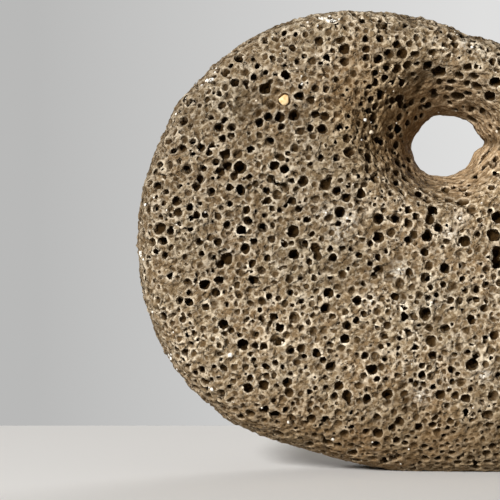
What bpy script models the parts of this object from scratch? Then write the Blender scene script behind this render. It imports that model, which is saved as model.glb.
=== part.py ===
# A slab of pumice that stands on its long edge, with one natural hole through it.
#
# Axes: +X along the stone, +Y towards its back, +Z up; the origin is on the
# ground under the middle of the stone. Metres, with the driving sizes below in
# millimetres.
#
# The stone is one ring-shaped surface. Each section runs out from the throat
# of the hole, over the front face to the rim, and back over the rear face.
# Its underside is cut flat where the stone rests. A small round pebble sits
# loose in one pore of the front face.

import math

import bmesh
import bpy
import numpy as np

MM = 0.001

# ---------------------------------------------------------------- driving sizes

# Stations round the rim of the slab, (X, Z) in mm, anticlockwise seen from the
# front, starting right of the hole. The ones below Z = 0 are cut away by the base.
RIM = [
    (16.5, 148.0), (10.0, 150.0), (3.0, 151.5), (-4.0, 154.5), (-11.5, 157.0),
    (-18.5, 157.8), (-25.5, 158.5), (-36.0, 159.5), (-46.5, 158.5), (-53.5, 157.0),
    (-62.0, 154.0), (-70.5, 150.0), (-80.5, 143.5), (-87.5, 136.5), (-94.0, 129.5),
    (-98.5, 122.5), (-101.8, 115.0), (-104.5, 108.0), (-107.5, 101.0), (-109.2, 92.5),
    (-110.0, 82.0), (-109.5, 70.0), (-107.5, 59.0), (-104.0, 48.5), (-98.5, 38.0),
    (-92.5, 29.8), (-86.0, 23.2), (-78.5, 17.0), (-70.5, 13.0), (-62.0, 9.5),
    (-50.5, 6.0), (-38.0, 2.6), (-28.0, 0.2), (-18.5, -1.2), (-4.0, -2.2),
    (17.0, -2.6), (38.0, -1.6), (55.5, 1.2), (71.5, 7.0), (85.5, 15.5),
    (97.0, 27.0), (105.5, 41.5), (109.7, 57.0), (109.4, 73.0), (104.5, 89.0),
    (95.0, 104.5), (82.5, 118.5), (67.5, 130.0), (51.5, 138.5), (34.5, 144.5),
]

HOLE = (-2.6, 113.4)            # axis of the through hole, X and Z

# Narrowest radius of the hole at 24 equal angles, anticlockwise from +X.
THROAT = [12.6, 12.2, 12.2, 11.5, 10.9, 10.3, 10.2, 10.8, 10.9, 10.9, 11.0, 11.1,
          11.7, 11.5, 11.9, 12.1, 11.7, 11.1, 10.8, 10.7, 10.4, 10.5, 10.2, 10.9]

# How far the mouth of the hole flares out before it meets the face, at 8 equal
# angles, anticlockwise from +X.
FLARE_FRONT = [15.0, 14.0, 19.0, 25.5, 25.0, 15.5, 12.5, 12.5]
FLARE_BACK = [20.0, 18.0, 16.0, 14.5, 14.0, 14.5, 15.0, 18.0]
FLARE_POWER = 1.32              # 2 is a round lip, 1 a straight cone

HALF_THICKNESS = 30.5           # from the middle plane to either face
# Depth of the rounding from the rim to the flat of the face, at 8 equal angles.
ROUND_FRONT = [31.0, 28.0, 20.0, 22.0, 20.0, 25.0, 33.0, 36.0]
ROUND_BACK = [34.0, 33.0, 30.0, 32.0, 33.0, 32.0, 34.0, 36.0]
# Fullness of that rounding at the same angles: 2 is round, 5 nearly square.
FULL_FRONT = [2.5, 2.8, 4.6, 4.0, 5.0, 2.8, 2.3, 2.4]
FULL_BACK = [2.3, 2.4, 2.7, 2.5, 2.6, 2.4, 2.25, 2.3]

CROWN = 0.09                    # how much thinner the faces are towards the rim
CROWN_REACH = 70.0
SWELL = (0.9, 1.7)              # height of the slow swells, front and back
# Slow swells of the two faces: wavelength, direction in degrees, phase, share.
SWELLS = [
    (78.0, 20.0, 0.4, 1.00), (61.0, 105.0, 2.1, 0.80), (47.0, 64.0, 4.0, 0.60),
    (39.0, 151.0, 1.2, 0.50), (31.0, 12.0, 5.3, 0.32), (27.0, 83.0, 3.3, 0.28),
]

AROUND = 108                    # columns of the mesh round the hole
ACROSS = 17                     # rows on each face between the throat and the rim
TURN_WEIGHT = 14.0              # length that one radian of turning counts for

PORE = (-59.5, 127.0)           # pore that holds the pebble, X and Z
PORE_RADIUS = 2.25
PEBBLE = (1.6, 1.45, 1.8)       # half sizes of the pebble, X, Y, Z
GAP = 0.3                       # air between the pebble and the floor of its pore


# ---------------------------------------------------------------- curves

def closed_spline(stations, count):
    """Points of the closed cubic curve through the stations."""
    p = np.array(stations, dtype=float)
    n = len(p)
    h = np.linalg.norm(np.roll(p, -1, axis=0) - p, axis=1)
    a = np.zeros((n, n))
    b = np.zeros_like(p)
    for i in range(n):
        before, after = h[i - 1], h[i]
        a[i, i - 1] = before
        a[i, i] = 2.0 * (before + after)
        a[i, (i + 1) % n] = after
        b[i] = 6.0 * ((p[(i + 1) % n] - p[i]) / after - (p[i] - p[i - 1]) / before)
    m = np.linalg.solve(a, b)
    knots = np.concatenate([[0.0], np.cumsum(h)])
    out = []
    for s in np.linspace(0.0, knots[-1], count, endpoint=False):
        i = min(int(np.searchsorted(knots, s, side="right")) - 1, n - 1)
        j = (i + 1) % n
        t0, t1 = knots[i + 1] - s, s - knots[i]
        out.append(m[i] * t0 ** 3 / (6 * h[i]) + m[j] * t1 ** 3 / (6 * h[i])
                   + (p[i] / h[i] - m[i] * h[i] / 6) * t0
                   + (p[j] / h[i] - m[j] * h[i] / 6) * t1)
    return np.array(out)


def round_the_clock(values, angle):
    """Smooth periodic value at an angle, from values at equal angles."""
    v = np.array(values, dtype=float)
    n = len(v)
    k = np.fft.rfft(v) / n
    out = np.full(np.shape(angle), k[0].real)
    for i in range(1, len(k)):
        last = n % 2 == 0 and i == n // 2
        gain = (1.0 if last else 2.0) * math.exp(-0.5 * (i / (0.36 * n)) ** 2)
        out = out + gain * (k[i].real * np.cos(i * angle) - k[i].imag * np.sin(i * angle))
    return out


def distance_to_loop(x, z, loop):
    """Distance in the XZ plane from points to a closed line."""
    a = loop
    d = np.roll(loop, -1, axis=0) - a
    length2 = (d ** 2).sum(axis=1)
    px = x.reshape(-1, 1) - a[:, 0]
    pz = z.reshape(-1, 1) - a[:, 1]
    t = np.clip((px * d[:, 0] + pz * d[:, 1]) / length2, 0.0, 1.0)
    gap = np.hypot(px - t * d[:, 0], pz - t * d[:, 1])
    return gap.min(axis=1).reshape(x.shape)


def rounding(depth, power):
    """Rises from 0 at the edge to 1 at depth 1, with a round shoulder."""
    u = np.clip(depth, 0.0, 1.0)
    return (1.0 - (1.0 - u) ** power) ** (1.0 / power)


def swell(x, z, side):
    """Slow unevenness of a face, about -1 to 1."""
    total = 0.0
    for wave, degrees, phase, share in SWELLS:
        d = math.radians(degrees + 37.0 * side)
        total = total + share * np.sin(2 * math.pi * (x * math.cos(d) + z * math.sin(d)) / wave
                                       + phase + 1.7 * side)
    return total / 2.2


RIM_LOOP = closed_spline(RIM, 720)
RIM_ANGLE = np.unwrap(np.arctan2(RIM_LOOP[:, 1] - HOLE[1], RIM_LOOP[:, 0] - HOLE[0]))
RIM_RADIUS = np.hypot(RIM_LOOP[:, 0] - HOLE[0], RIM_LOOP[:, 1] - HOLE[1])


def rim_radius(angle):
    """Distance from the hole's axis to the rim."""
    a = (angle - RIM_ANGLE[0]) % (2 * math.pi) + RIM_ANGLE[0]
    return np.interp(a, np.append(RIM_ANGLE, RIM_ANGLE[0] + 2 * math.pi),
                     np.append(RIM_RADIUS, RIM_RADIUS[0]))


def throat_loop(count):
    t = np.linspace(0.0, 2 * math.pi, count, endpoint=False)
    r = round_the_clock(THROAT, t)
    return np.stack([HOLE[0] + r * np.cos(t), HOLE[1] + r * np.sin(t)], axis=1)


THROAT_LOOP = throat_loop(240)


def face_height(x, z, side):
    """Distance of a face from the middle plane; side 0 is the front, 1 the back."""
    about_hole = np.arctan2(z - HOLE[1], x - HOLE[0])
    about_middle = np.arctan2(z - 78.0, x)
    flare = round_the_clock(FLARE_BACK if side else FLARE_FRONT, about_hole)
    shoulder = round_the_clock(ROUND_BACK if side else ROUND_FRONT, about_middle)
    full = round_the_clock(FULL_BACK if side else FULL_FRONT, about_middle)
    to_rim = distance_to_loop(x, z, RIM_LOOP)
    to_hole = distance_to_loop(x, z, THROAT_LOOP)
    crown = 1.0 - CROWN * (1.0 - np.clip(to_rim / CROWN_REACH, 0.0, 1.0)) ** 1.6
    top = HALF_THICKNESS * crown + SWELL[side] * swell(x, z, side)
    return top * rounding(to_rim / shoulder, full) * rounding(to_hole / flare, FLARE_POWER)


# ---------------------------------------------------------------- modelling

def material(name, colour, roughness):
    m = bpy.data.materials.new(name)
    m.use_nodes = True
    shader = m.node_tree.nodes["Principled BSDF"]
    shader.inputs["Base Color"].default_value = (*colour, 1.0)
    shader.inputs["Roughness"].default_value = roughness
    shader.inputs["Metallic"].default_value = 0.0
    m.diffuse_color = (*colour, 1.0)
    return m


def add_object(name, mesh, surface=None):
    obj = bpy.data.objects.new(name, mesh)
    bpy.context.scene.collection.objects.link(obj)
    if surface:
        mesh.materials.append(surface)
    return obj


def face_rows(angle, side):
    """Points of one face, a column from the throat to the rim at each angle.

    Rows are spaced evenly along the section, and closer where it turns over.
    """
    fine = 0.5 - 0.5 * np.cos(np.pi * np.linspace(0.0, 1.0, 321))
    inner = round_the_clock(THROAT, angle)
    radius = inner[:, None] + (rim_radius(angle) - inner)[:, None] * fine[None, :]
    x = HOLE[0] + radius * np.cos(angle)[:, None]
    z = HOLE[1] + radius * np.sin(angle)[:, None]
    y = face_height(x, z, side)
    y[:, 0] = y[:, -1] = 0.0
    columns = []
    for r, px, py, pz in zip(radius, x, y, z):
        step = np.hypot(np.diff(r), np.diff(py))
        way = np.unwrap(np.arctan2(np.diff(py), np.diff(r)))
        turn = np.minimum(np.abs(np.diff(way, prepend=way[0])), 0.1)
        turn[-4:] = 0.0
        along = np.concatenate([[0.0], np.cumsum(step + TURN_WEIGHT * turn)])
        at = np.linspace(0.0, along[-1], ACROSS + 2)
        columns.append(np.stack([np.interp(at, along, px),
                                 np.interp(at, along, py) * (1 if side else -1),
                                 np.interp(at, along, pz)], axis=1))
    return columns


def ring_mesh():
    """The whole slab with its hole, before the base is cut."""
    angle = np.linspace(0.0, 2 * math.pi, AROUND, endpoint=False)
    # Columns stand closer together where the rim is far from the hole.
    arc = np.concatenate([[0.0], np.cumsum(np.hypot(*np.diff(
        np.vstack([RIM_LOOP, RIM_LOOP[:1]]), axis=0).T))])
    even = np.interp(np.linspace(0.0, arc[-1], AROUND, endpoint=False), arc,
                     np.append(RIM_ANGLE, RIM_ANGLE[0] + 2 * math.pi))
    angle = 0.45 * (angle + RIM_ANGLE[0]) + 0.55 * even
    faces = [face_rows(angle, side) for side in (0, 1)]

    bm = bmesh.new()
    rows = []
    for i in range(AROUND):
        out, home = faces[0][i], faces[1][i][-2:0:-1]
        rows.append([bm.verts.new(point * MM) for point in np.vstack([out, home])])
    loop = len(rows[0])
    for i in range(AROUND):
        here, there = rows[i], rows[(i + 1) % AROUND]
        for j in range(loop):
            k = (j + 1) % loop
            bm.faces.new((here[j], here[k], there[k], there[j]))

    # Flat base where the stone rests on the ground.
    cut = bmesh.ops.bisect_plane(bm, geom=bm.verts[:] + bm.edges[:] + bm.faces[:], dist=1e-7,
                                 plane_co=(0, 0, 0), plane_no=(0, 0, 1), clear_inner=True)
    edges = [g for g in cut["geom_cut"] if isinstance(g, bmesh.types.BMEdge)]
    bmesh.ops.edgeloop_fill(bm, edges=edges)
    bmesh.ops.recalc_face_normals(bm, faces=bm.faces)
    if bm.calc_volume(signed=True) < 0:
        bmesh.ops.reverse_faces(bm, faces=bm.faces)
    mesh = bpy.data.meshes.new("stone")
    bm.to_mesh(mesh)
    bm.free()
    return mesh


def front_surface(x, z):
    """Y of the front face at a point, in mm."""
    return -float(face_height(np.array([x]), np.array([z]), 0)[0])


def ball(name, half, segments, rings, lobed=False):
    bm = bmesh.new()
    bmesh.ops.create_uvsphere(bm, u_segments=segments, v_segments=rings, radius=1.0)
    for v in bm.verts:
        x, y, z = v.co
        lift = 0.0
        if lobed:
            # Two rounded lobes at the top with a slight dip between them.
            lift = 0.10 * max(z, 0.0) * (math.cos(3.4 * x + 2.5) - 0.3)
        v.co = (x * half[0] * MM, y * half[1] * MM, (z + lift) * half[2] * MM)
    mesh = bpy.data.meshes.new(name)
    bm.to_mesh(mesh)
    bm.free()
    return mesh


def build():
    for obj in list(bpy.data.objects):
        bpy.data.objects.remove(obj, do_unlink=True)

    stone_grey = material("pumice", (0.23, 0.175, 0.107), 0.95)
    cream = material("cream_pebble", (0.62, 0.50, 0.27), 0.8)

    stone = add_object("stone", ring_mesh(), stone_grey)
    stone.data.shade_smooth()
    stone.data.set_sharp_from_angle(angle=math.radians(50))

    # The pore for the pebble: a round pocket, open to the front.
    face = front_surface(*PORE)
    cutter = add_object("pore_cutter", ball("pore_cutter", (PORE_RADIUS,) * 3, 20, 12))
    cutter.location = (PORE[0] * MM, (face + 0.75) * MM, PORE[1] * MM)
    cutter.display_type = 'WIRE'
    cutter.hide_render = True
    pocket = stone.modifiers.new("pebble_pore", 'BOOLEAN')
    pocket.operation = 'DIFFERENCE'
    pocket.solver = 'EXACT'
    pocket.object = cutter

    # The pebble stands off the pore's floor by GAP, and is lower than its mouth.
    pebble = add_object("lodged_pebble", ball("lodged_pebble", PEBBLE, 20, 12, lobed=True), cream)
    depth = face + 0.75 + PORE_RADIUS - GAP - PEBBLE[1]
    pebble.location = (PORE[0] * MM, depth * MM, (PORE[1] - 0.03) * MM)
    pebble.data.shade_smooth()


build()
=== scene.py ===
# The looks of the pumice stone, built around its imported CAD model.
#
# The stone's skin is one closed mesh. Its smooth envelope is the same surface
# as the CAD solid's. A distance field of that envelope is roughened, thousands
# of bubbles are cut out of it, and the result is meshed and thinned out to stay
# under 200,000 triangles. Numbers per vertex, such as how deep a point lies in
# a pore, then steer the rock's colour, together with procedural noise. Part of
# that colour is painted shade: dark pores and hollows, a darker rim and base.

import math
import time

import bmesh
import bpy
import numpy as np
import openvdb as vdb
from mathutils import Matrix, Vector
from mathutils.bvhtree import BVHTree


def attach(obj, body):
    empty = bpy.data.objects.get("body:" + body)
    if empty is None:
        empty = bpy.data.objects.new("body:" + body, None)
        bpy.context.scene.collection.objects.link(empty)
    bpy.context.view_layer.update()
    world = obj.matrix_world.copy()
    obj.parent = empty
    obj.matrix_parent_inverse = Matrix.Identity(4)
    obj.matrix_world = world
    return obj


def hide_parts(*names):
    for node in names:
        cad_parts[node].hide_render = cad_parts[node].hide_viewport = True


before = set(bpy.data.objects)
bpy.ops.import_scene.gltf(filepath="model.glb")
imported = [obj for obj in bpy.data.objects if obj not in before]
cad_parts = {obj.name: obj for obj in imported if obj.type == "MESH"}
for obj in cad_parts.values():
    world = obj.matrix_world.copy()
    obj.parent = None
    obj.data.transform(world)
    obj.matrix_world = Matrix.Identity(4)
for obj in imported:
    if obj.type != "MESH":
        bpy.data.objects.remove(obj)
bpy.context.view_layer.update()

MM = 0.001
STARTED = time.time()


def say(text):
    print("[%5.1f s] %s" % (time.time() - STARTED, text), flush=True)


# ---------------------------------------------------------------- camera

# The photograph's view: 500 pixels wide, looking level along +Y.
CAMERA = np.array([-71.1, -620.0, 76.5])        # mm
PIXELS_PER_UNIT = 1761.0                        # focal length in pixels


def set_camera():
    data = bpy.data.cameras.new("camera")
    data.sensor_width = 36.0
    data.lens = 36.0 * PIXELS_PER_UNIT / 500.0
    data.clip_start, data.clip_end = 0.05, 20.0
    cam = bpy.data.objects.new("camera", data)
    bpy.context.scene.collection.objects.link(cam)
    cam.location = CAMERA * MM
    cam.rotation_euler = (math.radians(90.0), 0.0, 0.0)
    bpy.context.scene.camera = cam


def pixel_ray(px, py):
    """Unit direction of the view ray through a pixel of the 500 x 500 frame."""
    d = np.stack([(np.asarray(px, float) - 250.0) / PIXELS_PER_UNIT,
                  np.ones(np.shape(px)),
                  (250.0 - np.asarray(py, float)) / PIXELS_PER_UNIT], axis=-1)
    return d / np.linalg.norm(d, axis=-1, keepdims=True)


# ---------------------------------------------------------------- the stone's envelope, as in the CAD

# Stations round the rim of the slab, (X, Z) in mm, anticlockwise seen from the
# front, starting right of the hole. The ones below Z = 0 are cut away by the base.
RIM = [
    (16.5, 148.0), (10.0, 150.0), (3.0, 151.5), (-4.0, 154.5), (-11.5, 157.0),
    (-18.5, 157.8), (-25.5, 158.5), (-36.0, 159.5), (-46.5, 158.5), (-53.5, 157.0),
    (-62.0, 154.0), (-70.5, 150.0), (-80.5, 143.5), (-87.5, 136.5), (-94.0, 129.5),
    (-98.5, 122.5), (-101.8, 115.0), (-104.5, 108.0), (-107.5, 101.0), (-109.2, 92.5),
    (-110.0, 82.0), (-109.5, 70.0), (-107.5, 59.0), (-104.0, 48.5), (-98.5, 38.0),
    (-92.5, 29.8), (-86.0, 23.2), (-78.5, 17.0), (-70.5, 13.0), (-62.0, 9.5),
    (-50.5, 6.0), (-38.0, 2.6), (-28.0, 0.2), (-18.5, -1.2), (-4.0, -2.2),
    (17.0, -2.6), (38.0, -1.6), (55.5, 1.2), (71.5, 7.0), (85.5, 15.5),
    (97.0, 27.0), (105.5, 41.5), (109.7, 57.0), (109.4, 73.0), (104.5, 89.0),
    (95.0, 104.5), (82.5, 118.5), (67.5, 130.0), (51.5, 138.5), (34.5, 144.5),
]

HOLE = (-2.6, 113.4)            # axis of the through hole, X and Z

# Narrowest radius of the hole at 24 equal angles, anticlockwise from +X.
THROAT = [12.6, 12.2, 12.2, 11.5, 10.9, 10.3, 10.2, 10.8, 10.9, 10.9, 11.0, 11.1,
          11.7, 11.5, 11.9, 12.1, 11.7, 11.1, 10.8, 10.7, 10.4, 10.5, 10.2, 10.9]

# How far the mouth of the hole flares out before it meets the face, at 8 equal
# angles, anticlockwise from +X.
FLARE_FRONT = [15.0, 14.0, 19.0, 25.5, 25.0, 15.5, 12.5, 12.5]
FLARE_BACK = [20.0, 18.0, 16.0, 14.5, 14.0, 14.5, 15.0, 18.0]
FLARE_POWER = 1.32              # 2 is a round lip, 1 a straight cone

HALF_THICKNESS = 30.5           # from the middle plane to either face
# Depth of the rounding from the rim to the flat of the face, at 8 equal angles.
ROUND_FRONT = [31.0, 28.0, 20.0, 22.0, 20.0, 25.0, 33.0, 36.0]
ROUND_BACK = [34.0, 33.0, 30.0, 32.0, 33.0, 32.0, 34.0, 36.0]
# Fullness of that rounding at the same angles: 2 is round, 5 nearly square.
FULL_FRONT = [2.5, 2.8, 4.6, 4.0, 5.0, 2.8, 2.3, 2.4]
FULL_BACK = [2.3, 2.4, 2.7, 2.5, 2.6, 2.4, 2.25, 2.3]

CROWN = 0.09                    # how much thinner the faces are towards the rim
CROWN_REACH = 70.0
SWELL = (0.9, 1.7)              # height of the slow swells, front and back
# Slow swells of the two faces: wavelength, direction in degrees, phase, share.
SWELLS = [
    (78.0, 20.0, 0.4, 1.00), (61.0, 105.0, 2.1, 0.80), (47.0, 64.0, 4.0, 0.60),
    (39.0, 151.0, 1.2, 0.50), (31.0, 12.0, 5.3, 0.32), (27.0, 83.0, 3.3, 0.28),
]

PORE = (-59.5, 127.0)           # pore that holds the pebble, X and Z
PORE_RADIUS = 2.25
PEBBLE = (1.6, 1.45, 1.8)       # half sizes of the pebble, X, Y, Z
GAP = 0.3                       # air between the pebble and the floor of its pore


def closed_spline(stations, count):
    """Points of the closed cubic curve through the stations."""
    p = np.array(stations, dtype=float)
    n = len(p)
    h = np.linalg.norm(np.roll(p, -1, axis=0) - p, axis=1)
    a = np.zeros((n, n))
    b = np.zeros_like(p)
    for i in range(n):
        before, after = h[i - 1], h[i]
        a[i, i - 1] = before
        a[i, i] = 2.0 * (before + after)
        a[i, (i + 1) % n] = after
        b[i] = 6.0 * ((p[(i + 1) % n] - p[i]) / after - (p[i] - p[i - 1]) / before)
    m = np.linalg.solve(a, b)
    knots = np.concatenate([[0.0], np.cumsum(h)])
    out = []
    for s in np.linspace(0.0, knots[-1], count, endpoint=False):
        i = min(int(np.searchsorted(knots, s, side="right")) - 1, n - 1)
        j = (i + 1) % n
        t0, t1 = knots[i + 1] - s, s - knots[i]
        out.append(m[i] * t0 ** 3 / (6 * h[i]) + m[j] * t1 ** 3 / (6 * h[i])
                   + (p[i] / h[i] - m[i] * h[i] / 6) * t0
                   + (p[j] / h[i] - m[j] * h[i] / 6) * t1)
    return np.array(out)


def round_the_clock(values, angle):
    """Smooth periodic value at an angle, from values at equal angles."""
    v = np.array(values, dtype=float)
    n = len(v)
    k = np.fft.rfft(v) / n
    out = np.full(np.shape(angle), k[0].real)
    for i in range(1, len(k)):
        last = n % 2 == 0 and i == n // 2
        gain = (1.0 if last else 2.0) * math.exp(-0.5 * (i / (0.36 * n)) ** 2)
        out = out + gain * (k[i].real * np.cos(i * angle) - k[i].imag * np.sin(i * angle))
    return out


def distance_to_loop(x, z, loop):
    """Distance in the XZ plane from points to a closed line."""
    a = loop
    d = np.roll(loop, -1, axis=0) - a
    length2 = (d ** 2).sum(axis=1)
    px = x.reshape(-1, 1) - a[:, 0]
    pz = z.reshape(-1, 1) - a[:, 1]
    t = np.clip((px * d[:, 0] + pz * d[:, 1]) / length2, 0.0, 1.0)
    gap = np.hypot(px - t * d[:, 0], pz - t * d[:, 1])
    return gap.min(axis=1).reshape(x.shape)


def rounding(depth, power):
    """Rises from 0 at the edge to 1 at depth 1, with a round shoulder."""
    u = np.clip(depth, 0.0, 1.0)
    return (1.0 - (1.0 - u) ** power) ** (1.0 / power)


def swell(x, z, side):
    """Slow unevenness of a face, about -1 to 1."""
    total = 0.0
    for wave, degrees, phase, share in SWELLS:
        d = math.radians(degrees + 37.0 * side)
        total = total + share * np.sin(2 * math.pi * (x * math.cos(d) + z * math.sin(d)) / wave
                                       + phase + 1.7 * side)
    return total / 2.2


RIM_LOOP = closed_spline(RIM, 720)
RIM_ANGLE = np.unwrap(np.arctan2(RIM_LOOP[:, 1] - HOLE[1], RIM_LOOP[:, 0] - HOLE[0]))
RIM_RADIUS = np.hypot(RIM_LOOP[:, 0] - HOLE[0], RIM_LOOP[:, 1] - HOLE[1])


def rim_radius(angle):
    """Distance from the hole's axis to the rim."""
    a = (angle - RIM_ANGLE[0]) % (2 * math.pi) + RIM_ANGLE[0]
    return np.interp(a, np.append(RIM_ANGLE, RIM_ANGLE[0] + 2 * math.pi),
                     np.append(RIM_RADIUS, RIM_RADIUS[0]))


def throat_loop(count):
    t = np.linspace(0.0, 2 * math.pi, count, endpoint=False)
    r = round_the_clock(THROAT, t)
    return np.stack([HOLE[0] + r * np.cos(t), HOLE[1] + r * np.sin(t)], axis=1)


THROAT_LOOP = throat_loop(240)

# How the stone's skin differs from that loop: angle, change of radius, spread in degrees.
THROAT_TRIM = [(4.5, 0.90, 6.0), (-13.0, -0.55, 7.0), (22.0, -0.40, 7.0), (36.0, 0.40, 3.5),
               (146.0, -0.85, 15.0), (240.0, 0.35, 10.0)]


def face_height(x, z, side):
    """Distance of a face from the middle plane; side 0 is the front, 1 the back."""
    about_hole = np.arctan2(z - HOLE[1], x - HOLE[0])
    about_middle = np.arctan2(z - 78.0, x)
    flare = round_the_clock(FLARE_BACK if side else FLARE_FRONT, about_hole)
    shoulder = round_the_clock(ROUND_BACK if side else ROUND_FRONT, about_middle)
    full = round_the_clock(FULL_BACK if side else FULL_FRONT, about_middle)
    to_rim = distance_to_loop(x, z, RIM_LOOP)
    to_hole = distance_to_loop(x, z, THROAT_LOOP)
    crown = 1.0 - CROWN * (1.0 - np.clip(to_rim / CROWN_REACH, 0.0, 1.0)) ** 1.6
    top = HALF_THICKNESS * crown + SWELL[side] * swell(x, z, side)
    return top * rounding(to_rim / shoulder, full) * rounding(to_hole / flare, FLARE_POWER)


def envelope_mesh(around, across):
    """Points and quads of the closed envelope, in mm."""
    angle = np.linspace(0.0, 2 * math.pi, around, endpoint=False)
    share = 0.5 - 0.5 * np.cos(np.pi * np.linspace(0.0, 1.0, across + 1))
    inner = round_the_clock(THROAT, angle)
    radius = inner[:, None] + (rim_radius(angle) - inner)[:, None] * share
    x = HOLE[0] + radius * np.cos(angle)[:, None]
    z = HOLE[1] + radius * np.sin(angle)[:, None]
    faces = []
    for side in (0, 1):
        y = np.concatenate([face_height(x[i:i + 30], z[i:i + 30], side)
                            for i in range(0, around, 30)])
        y[:, 0] = y[:, -1] = 0.0
        faces.append(np.stack([x, y if side else -y, z], axis=-1))
    points = np.concatenate([faces[0], faces[1][:, -2:0:-1]], axis=1)
    rows = points.shape[1]
    at = np.arange(around * rows).reshape(around, rows)
    nxt = np.roll(at, -1, axis=0)
    quads = np.stack([at, np.roll(at, -1, axis=1), np.roll(nxt, -1, axis=1), nxt], axis=-1)
    return points.reshape(-1, 3), quads.reshape(-1, 4)


# ---------------------------------------------------------------- fields on a grid

LOW = np.array([-112.0, -34.0, -2.4])           # mm
HIGH = np.array([112.0, 34.0, 161.6])


class Field:
    """A scalar field on a regular grid, read by linear interpolation."""

    def __init__(self, values, low, step):
        self.values, self.low, self.step = values, np.array(low, float), step

    def at(self, p):
        u = (np.asarray(p, float) - self.low) / self.step
        top = np.array(self.values.shape) - 1.001
        u = np.clip(u, 0.0, top)
        i = u.astype(int)
        f = (u - i).astype(np.float32)
        v = self.values
        x, y, z = i[..., 0], i[..., 1], i[..., 2]
        fx, fy, fz = f[..., 0], f[..., 1], f[..., 2]
        out = 0.0
        for dx, wx in ((0, 1 - fx), (1, fx)):
            for dy, wy in ((0, 1 - fy), (1, fy)):
                for dz, wz in ((0, 1 - fz), (1, fz)):
                    out = out + v[x + dx, y + dy, z + dz] * wx * wy * wz
        return out

    def slope(self, p, reach=0.6):
        p = np.asarray(p, float)
        g = np.stack([self.at(p + np.eye(3)[k] * reach) - self.at(p - np.eye(3)[k] * reach)
                      for k in range(3)], axis=-1)
        return g / np.maximum(np.linalg.norm(g, axis=-1, keepdims=True), 1e-9)


def envelope_field():
    """Signed distance to the envelope every 1 mm, negative inside."""
    points, quads = envelope_mesh(360, 120)
    grid = vdb.FloatGrid.createLevelSetFromPolygons(
        points.astype(np.float32), quads=quads.astype(np.uint32),
        transform=vdb.createLinearTransform(1.0), halfWidth=10.0)
    low = np.floor(LOW - 2.0).astype(int)
    high = np.ceil(HIGH + 2.0).astype(int)
    values = np.zeros(tuple(high - low + 1), np.float32)
    grid.copyToArray(values, ijk=tuple(int(v) for v in low))
    return Field(values, low, 1.0), points, quads


def resample(field, low, step, shape):
    """Linear interpolation of a field onto another regular grid."""
    out = field.values
    for axis in range(3):
        u = (low[axis] + step * np.arange(shape[axis]) - field.low[axis]) / field.step
        i = np.clip(np.floor(u).astype(int), 0, field.values.shape[axis] - 2)
        w = (u - i).astype(np.float32).reshape([-1 if a == axis else 1 for a in range(3)])
        out = np.take(out, i, axis=axis) * (1 - w) + np.take(out, i + 1, axis=axis) * w
    return out


def lumps(shape, step, wave, rng):
    """Smooth random field of about unit spread, with lumps of the given wavelength."""
    spacing = wave / 2.2
    out = rng.normal(0.0, 1.0, [int(n * step / spacing) + 5 for n in shape]).astype(np.float32)
    for axis in range(3):
        u = np.arange(shape[axis]) * step / spacing + 1.0
        i = np.floor(u).astype(int)
        f = (u - i).astype(np.float32).reshape([-1 if a == axis else 1 for a in range(3)])
        w = ((1 - f) ** 3 / 6, (3 * f ** 3 - 6 * f ** 2 + 4) / 6,
             (-3 * f ** 3 + 3 * f ** 2 + 3 * f + 1) / 6, f ** 3 / 6)
        out = sum(np.take(out, i - 1 + k, axis=axis) * w[k] for k in range(4))
    return out * np.float32(1.0 / 0.33)


def soften(values, reach):
    """Running mean over 2 * reach + 1 cells along each axis."""
    out = values
    for axis in range(3):
        n = out.shape[axis]
        c = np.cumsum(out, axis=axis, dtype=np.float32)
        c = np.concatenate([np.zeros_like(np.take(c, [0], axis=axis)), c], axis=axis)
        hi = np.minimum(np.arange(n) + reach + 1, n)
        lo = np.maximum(np.arange(n) - reach, 0)
        count = (hi - lo).astype(np.float32).reshape([-1 if a == axis else 1 for a in range(3)])
        out = (np.take(c, hi, axis=axis) - np.take(c, lo, axis=axis)) / count
    return out
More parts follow.
